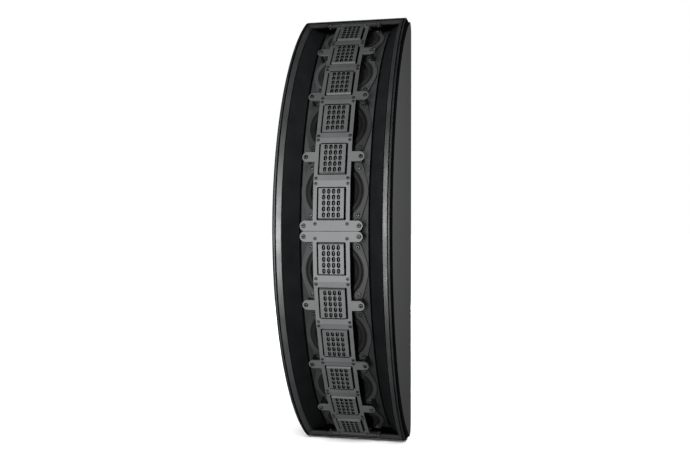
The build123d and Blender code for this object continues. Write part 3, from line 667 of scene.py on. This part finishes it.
def all_fasteners():
    pair = [Matrix.Translation((x, 0, 0)) for x in (-EAR_SCREW_X, EAR_SCREW_X)]
    ears = []
    for side in (1, -1):
        ears += [flat_place(index, along, side) @ shift for index, along in EARS for shift in pair]
        end = facing(*FOLDS[-1], END_TAB_TILT, side) @ Matrix.Translation((0, END_TAB / 2, 0))
        ears += [end @ shift for shift in pair]
    fasteners("ear_screws", "socket_screws", ears, "hex", (3.7, 2.6), (1.6, 9), 2.1, washer=4.7)
    small = [place @ corner for place in module_places() for corner in corners_of(*MODULE_SCREW)]
    fasteners("plate_screws", "module_screws", small, "cross", (2.8, 1.3), (1.6, 7), 1.9, washer=3.5)
    tabs = corners_of(WOOFER_SCREW, WOOFER_SCREW, TAB_TOP)
    frames = [place @ tab for place in woofer_places() for tab in tabs]
    fasteners("frame_screws", "woofer_screws", frames, "hex", (3.9, 2.7), (2.1, 12), 2.1, washer=4.9)
    rear = Matrix.Translation((0, 0, CUP_Z)) @ Matrix.Rotation(radians(-90), 4, "X")
    cup = [rear @ corner for corner in corners_of(CUP_SCREW_X, CUP_SCREW_Z, -CUP_SUNK)]
    fasteners("input_screws", "cup_screws", cup, "cross", (3.2, 0.9), (1.7, 11), 1.8, washer=3.5)


# ---------------------------------------------------------------- woofers
def cone_outline():
    """Section of cone, dust cap and former: ribbed paper with a glued cap."""
    inner, edge_z, throat_z, former_z = 12.4, 0.4, -18.0, -43.5
    ribs, rib_h, rib_half_w, sag = (27.5, 33.5, 39.5, 45.0), 0.35, 1.1, 0.9
    slope = (edge_z - throat_z) / (CONE_R - inner)
    face = []
    for step in range(CONE_STEPS + 1):
        r = CAP_R + (CONE_R - CAP_R) * step / CONE_STEPS
        flat = throat_z + slope * (r - inner)
        hollow = -sag * sin(pi * (r - CAP_R) / (CONE_R - CAP_R))
        rib = rib_h * sum(max(0.0, 1 - abs(r - at) / rib_half_w) for at in ribs)
        face.append((r, flat + hollow + rib))
    cap_z = throat_z + slope * (CAP_R - inner)
    rise = CAP_TOP - cap_z
    sphere = (CAP_R ** 2 + rise ** 2) / (2 * rise)
    spread = [CAP_R * k / CAP_STEPS for k in range(CAP_STEPS)]
    cap = [(r, CAP_TOP - sphere + sqrt(sphere ** 2 - r ** 2)) for r in spread]
    glue = [(CAP_R - 0.7, cap_z + 0.5), (CAP_R, cap_z + 0.9), (CAP_R + 0.8, cap_z + 0.7)]
    back = [(CONE_R, edge_z - 0.9)] + [(r, z - 1.1) for r, z in reversed(face[:-2]) if r > 20]
    former = [(13.1, throat_z - 1.3), (13.1, former_z), (inner, former_z), (inner, throat_z - 1.0)]
    under = [(r, z - 1.0) for r, z in reversed(cap[1:10])] + [(0, CAP_TOP - 1.0)]
    return cap + glue + face[2:] + back + former + under


def surround_outline():
    """Section of the surround: foot on the frame, over the roll, foot on the cone, under the roll."""
    middle = 53.9
    over = [(middle + 5.0 * cos(a), 4.2 + 3.4 * sin(a)) for a in (pi * k / 14 for k in range(15))]
    under = [(middle + 4.3 * cos(a), 3.8 + 3.0 * sin(a)) for a in (pi - pi * k / 10 for k in range(1, 10))]
    frame_foot = [(61.3, 3.0), (61.3, 3.9), (59.6, 4.1)]
    cone_foot = [(48.3, 2.2), (47.6, 0.9), (46.2, 0.15), (45.2, -0.35), (45.2, -0.75),
                 (47.9, 0.55), (49.3, 1.4), (49.5, 3.4)]
    return frame_foot + over + cone_foot + under + [(58.6, 3.2)]


def woofers():
    cone, roll = cone_outline(), surround_outline()
    for number, place in enumerate(woofer_places(), 1):
        bm = bmesh.new()
        turned(bm, place, cone, TURNED_STEPS)
        tidy(bm)
        body = f"cone_{number}"
        finish_piece(f"cone_and_cap_{number}", bm, "cone_paper", body, [f"woofer_cone_{number}"], 40)
        bm = bmesh.new()
        turned(bm, place, roll, TURNED_STEPS)
        tidy(bm)
        ring = finish_piece(f"surround_{number}", bm, "surround_rubber", None, ["woofer_surrounds"], 40)
        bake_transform(ring)
        refined(f"frame_{number}", f"woofer_basket_{number}", 0.45)


# ---------------------------------------------------------------- camera
CAMERA_AT = Vector((0.318, -1.8055, 0.0185))
CAMERA_YAW = 11.27
CAMERA_PITCH = -0.615
CAMERA_LENS = 38.59


def camera():
    data = bpy.data.cameras.new("camera")
    data.sensor_width = 36.0
    data.lens = CAMERA_LENS
    data.clip_end = 100
    made = bpy.data.objects.new("camera", data)
    bpy.context.scene.collection.objects.link(made)
    yaw, pitch = radians(CAMERA_YAW), radians(CAMERA_PITCH)
    look = Vector((-sin(yaw) * cos(pitch), cos(yaw) * cos(pitch), sin(pitch)))
    made.rotation_mode = "QUATERNION"
    made.rotation_quaternion = look.to_track_quat("-Z", "Y")
    made.location = CAMERA_AT
    bpy.context.scene.camera = made


# ---------------------------------------------------------------- surroundings and light
def surroundings():
    """White behind the object, and a weak cool light from all sides."""
    scene = bpy.context.scene
    scene.view_settings.view_transform = "Standard"
    world = bpy.data.worlds.new("studio")
    scene.world = world
    world.use_nodes = True
    nodes, links = world.node_tree.nodes, world.node_tree.links
    nodes.clear()
    seen = nodes.new("ShaderNodeBackground")
    seen.inputs["Color"].default_value = (1, 1, 1, 1)
    seen.inputs["Strength"].default_value = 1.0
    around = nodes.new("ShaderNodeBackground")
    around.inputs["Color"].default_value = (0.95, 0.98, 1.0, 1)
    around.inputs["Strength"].default_value = 0.08
    path = nodes.new("ShaderNodeLightPath")
    mix = nodes.new("ShaderNodeMixShader")
    out = nodes.new("ShaderNodeOutputWorld")
    links.new(path.outputs["Is Camera Ray"], mix.inputs["Fac"])
    links.new(around.outputs[0], mix.inputs[1])
    links.new(seen.outputs[0], mix.inputs[2])
    links.new(mix.outputs[0], out.inputs["Surface"])


def pale_floor():
    bm = bmesh.new()
    bmesh.ops.create_grid(bm, x_segments=1, y_segments=1, size=30)
    data = bpy.data.meshes.new("floor")
    bm.to_mesh(data)
    bm.free()
    floor = bpy.data.objects.new("floor", data)
    floor.location = (0, 0, -HALF_H * MM)
    bpy.context.scene.collection.objects.link(floor)
    pale, shader = new_material("floor_pale")
    shader.inputs["Base Color"].default_value = (0.82, 0.82, 0.82, 1)
    shader.inputs["Roughness"].default_value = 0.9
    shader.inputs["Specular IOR Level"].default_value = 0.1
    data.materials.append(pale)
    floor.visible_diffuse = False
    floor.visible_glossy = False
    return floor


def receivers(name, objects):
    """The only objects that a light with this collection falls on."""
    found = bpy.data.collections.new(name)
    for obj in objects:
        found.objects.link(obj)
    return found


def add_light(name, data, direction, only):
    made = bpy.data.objects.new(name, data)
    bpy.context.scene.collection.objects.link(made)
    made.rotation_mode = "QUATERNION"
    made.rotation_quaternion = direction.to_track_quat("-Z", "Y")
    if only:
        made.light_linking.receiver_collection = only
    return made


def floor_sun(floor):
    data = bpy.data.lights.new("floor_sun", "SUN")
    data.energy = 6.6
    data.angle = radians(30)
    add_light("floor_sun", data, Vector((-0.16, 0.75, -0.64)), receivers("floor_only", [floor]))


def area_light(name, place, target, size, power, only=None):
    """Rectangular light that the camera doesn't see, size in metres and power in watts."""
    data = bpy.data.lights.new(name, "AREA")
    data.shape = "RECTANGLE"
    data.size, data.size_y = size
    data.energy = power
    made = add_light(name, data, Vector(target) - Vector(place), only)
    made.location = place
    made.visible_camera = False


def lights():
    centre = (0, -0.2, 0)
    names = ("right", "left", "top", "bottom")
    right, left, top, bottom = [bpy.data.objects[f"trim_{name}"] for name in names]
    deep = ["flared_wall_left", "flared_wall_right", "front_baffle"]
    deep += [f"{name}_{number}" for name in ("frame", "surround", "cone_and_cap") for number in (1, 2, 7, 8)]
    ends = receivers("well_ends", [bpy.data.objects[name] for name in deep])
    back = receivers("top_and_rear", [bpy.data.objects[f"{name}_panel_shell"] for name in ("top", "rear")])
    area_light("key", (-0.16, -2.5, -0.4), centre, (0.3, 1.5), 75)
    area_light("left_strip", (-0.86, -0.84, 0.0), (0.12, -0.35, 0), (0.3, 1.1), 21,
               receivers("right_bevel", [right]))
    area_light("right_strip", (0.58, -1.2, 0.0), (-0.12, -0.35, 0), (0.25, 0.9), 32,
               receivers("left_bevel", [left, top, bottom]))
    for side in (-1, 1):
        area_light(f"end_{side}", (0.0, -1.1, 0.72 * side), (0, -0.1, 0.44 * side), (0.7, 0.2), 6, ends)
    area_light("behind_right", (2.2, 0.9, 0.1), centre, (0.8, 1.6), 40)
    area_light("behind_left", (-2.2, 0.9, 0.3), centre, (1.0, 1.4), 30)
    area_light("rear", (-0.55, 2.8, 0.6), (0, 0, 0), (0.8, 1.2), 50)
    area_light("above", (0.2, 0.8, 2.2), (0, -0.1, 0.5), (1.4, 1.0), 30, back)


cabinet()
strips()
all_fasteners()
woofers()
camera()
surroundings()
floor_sun(pale_floor())
lights()
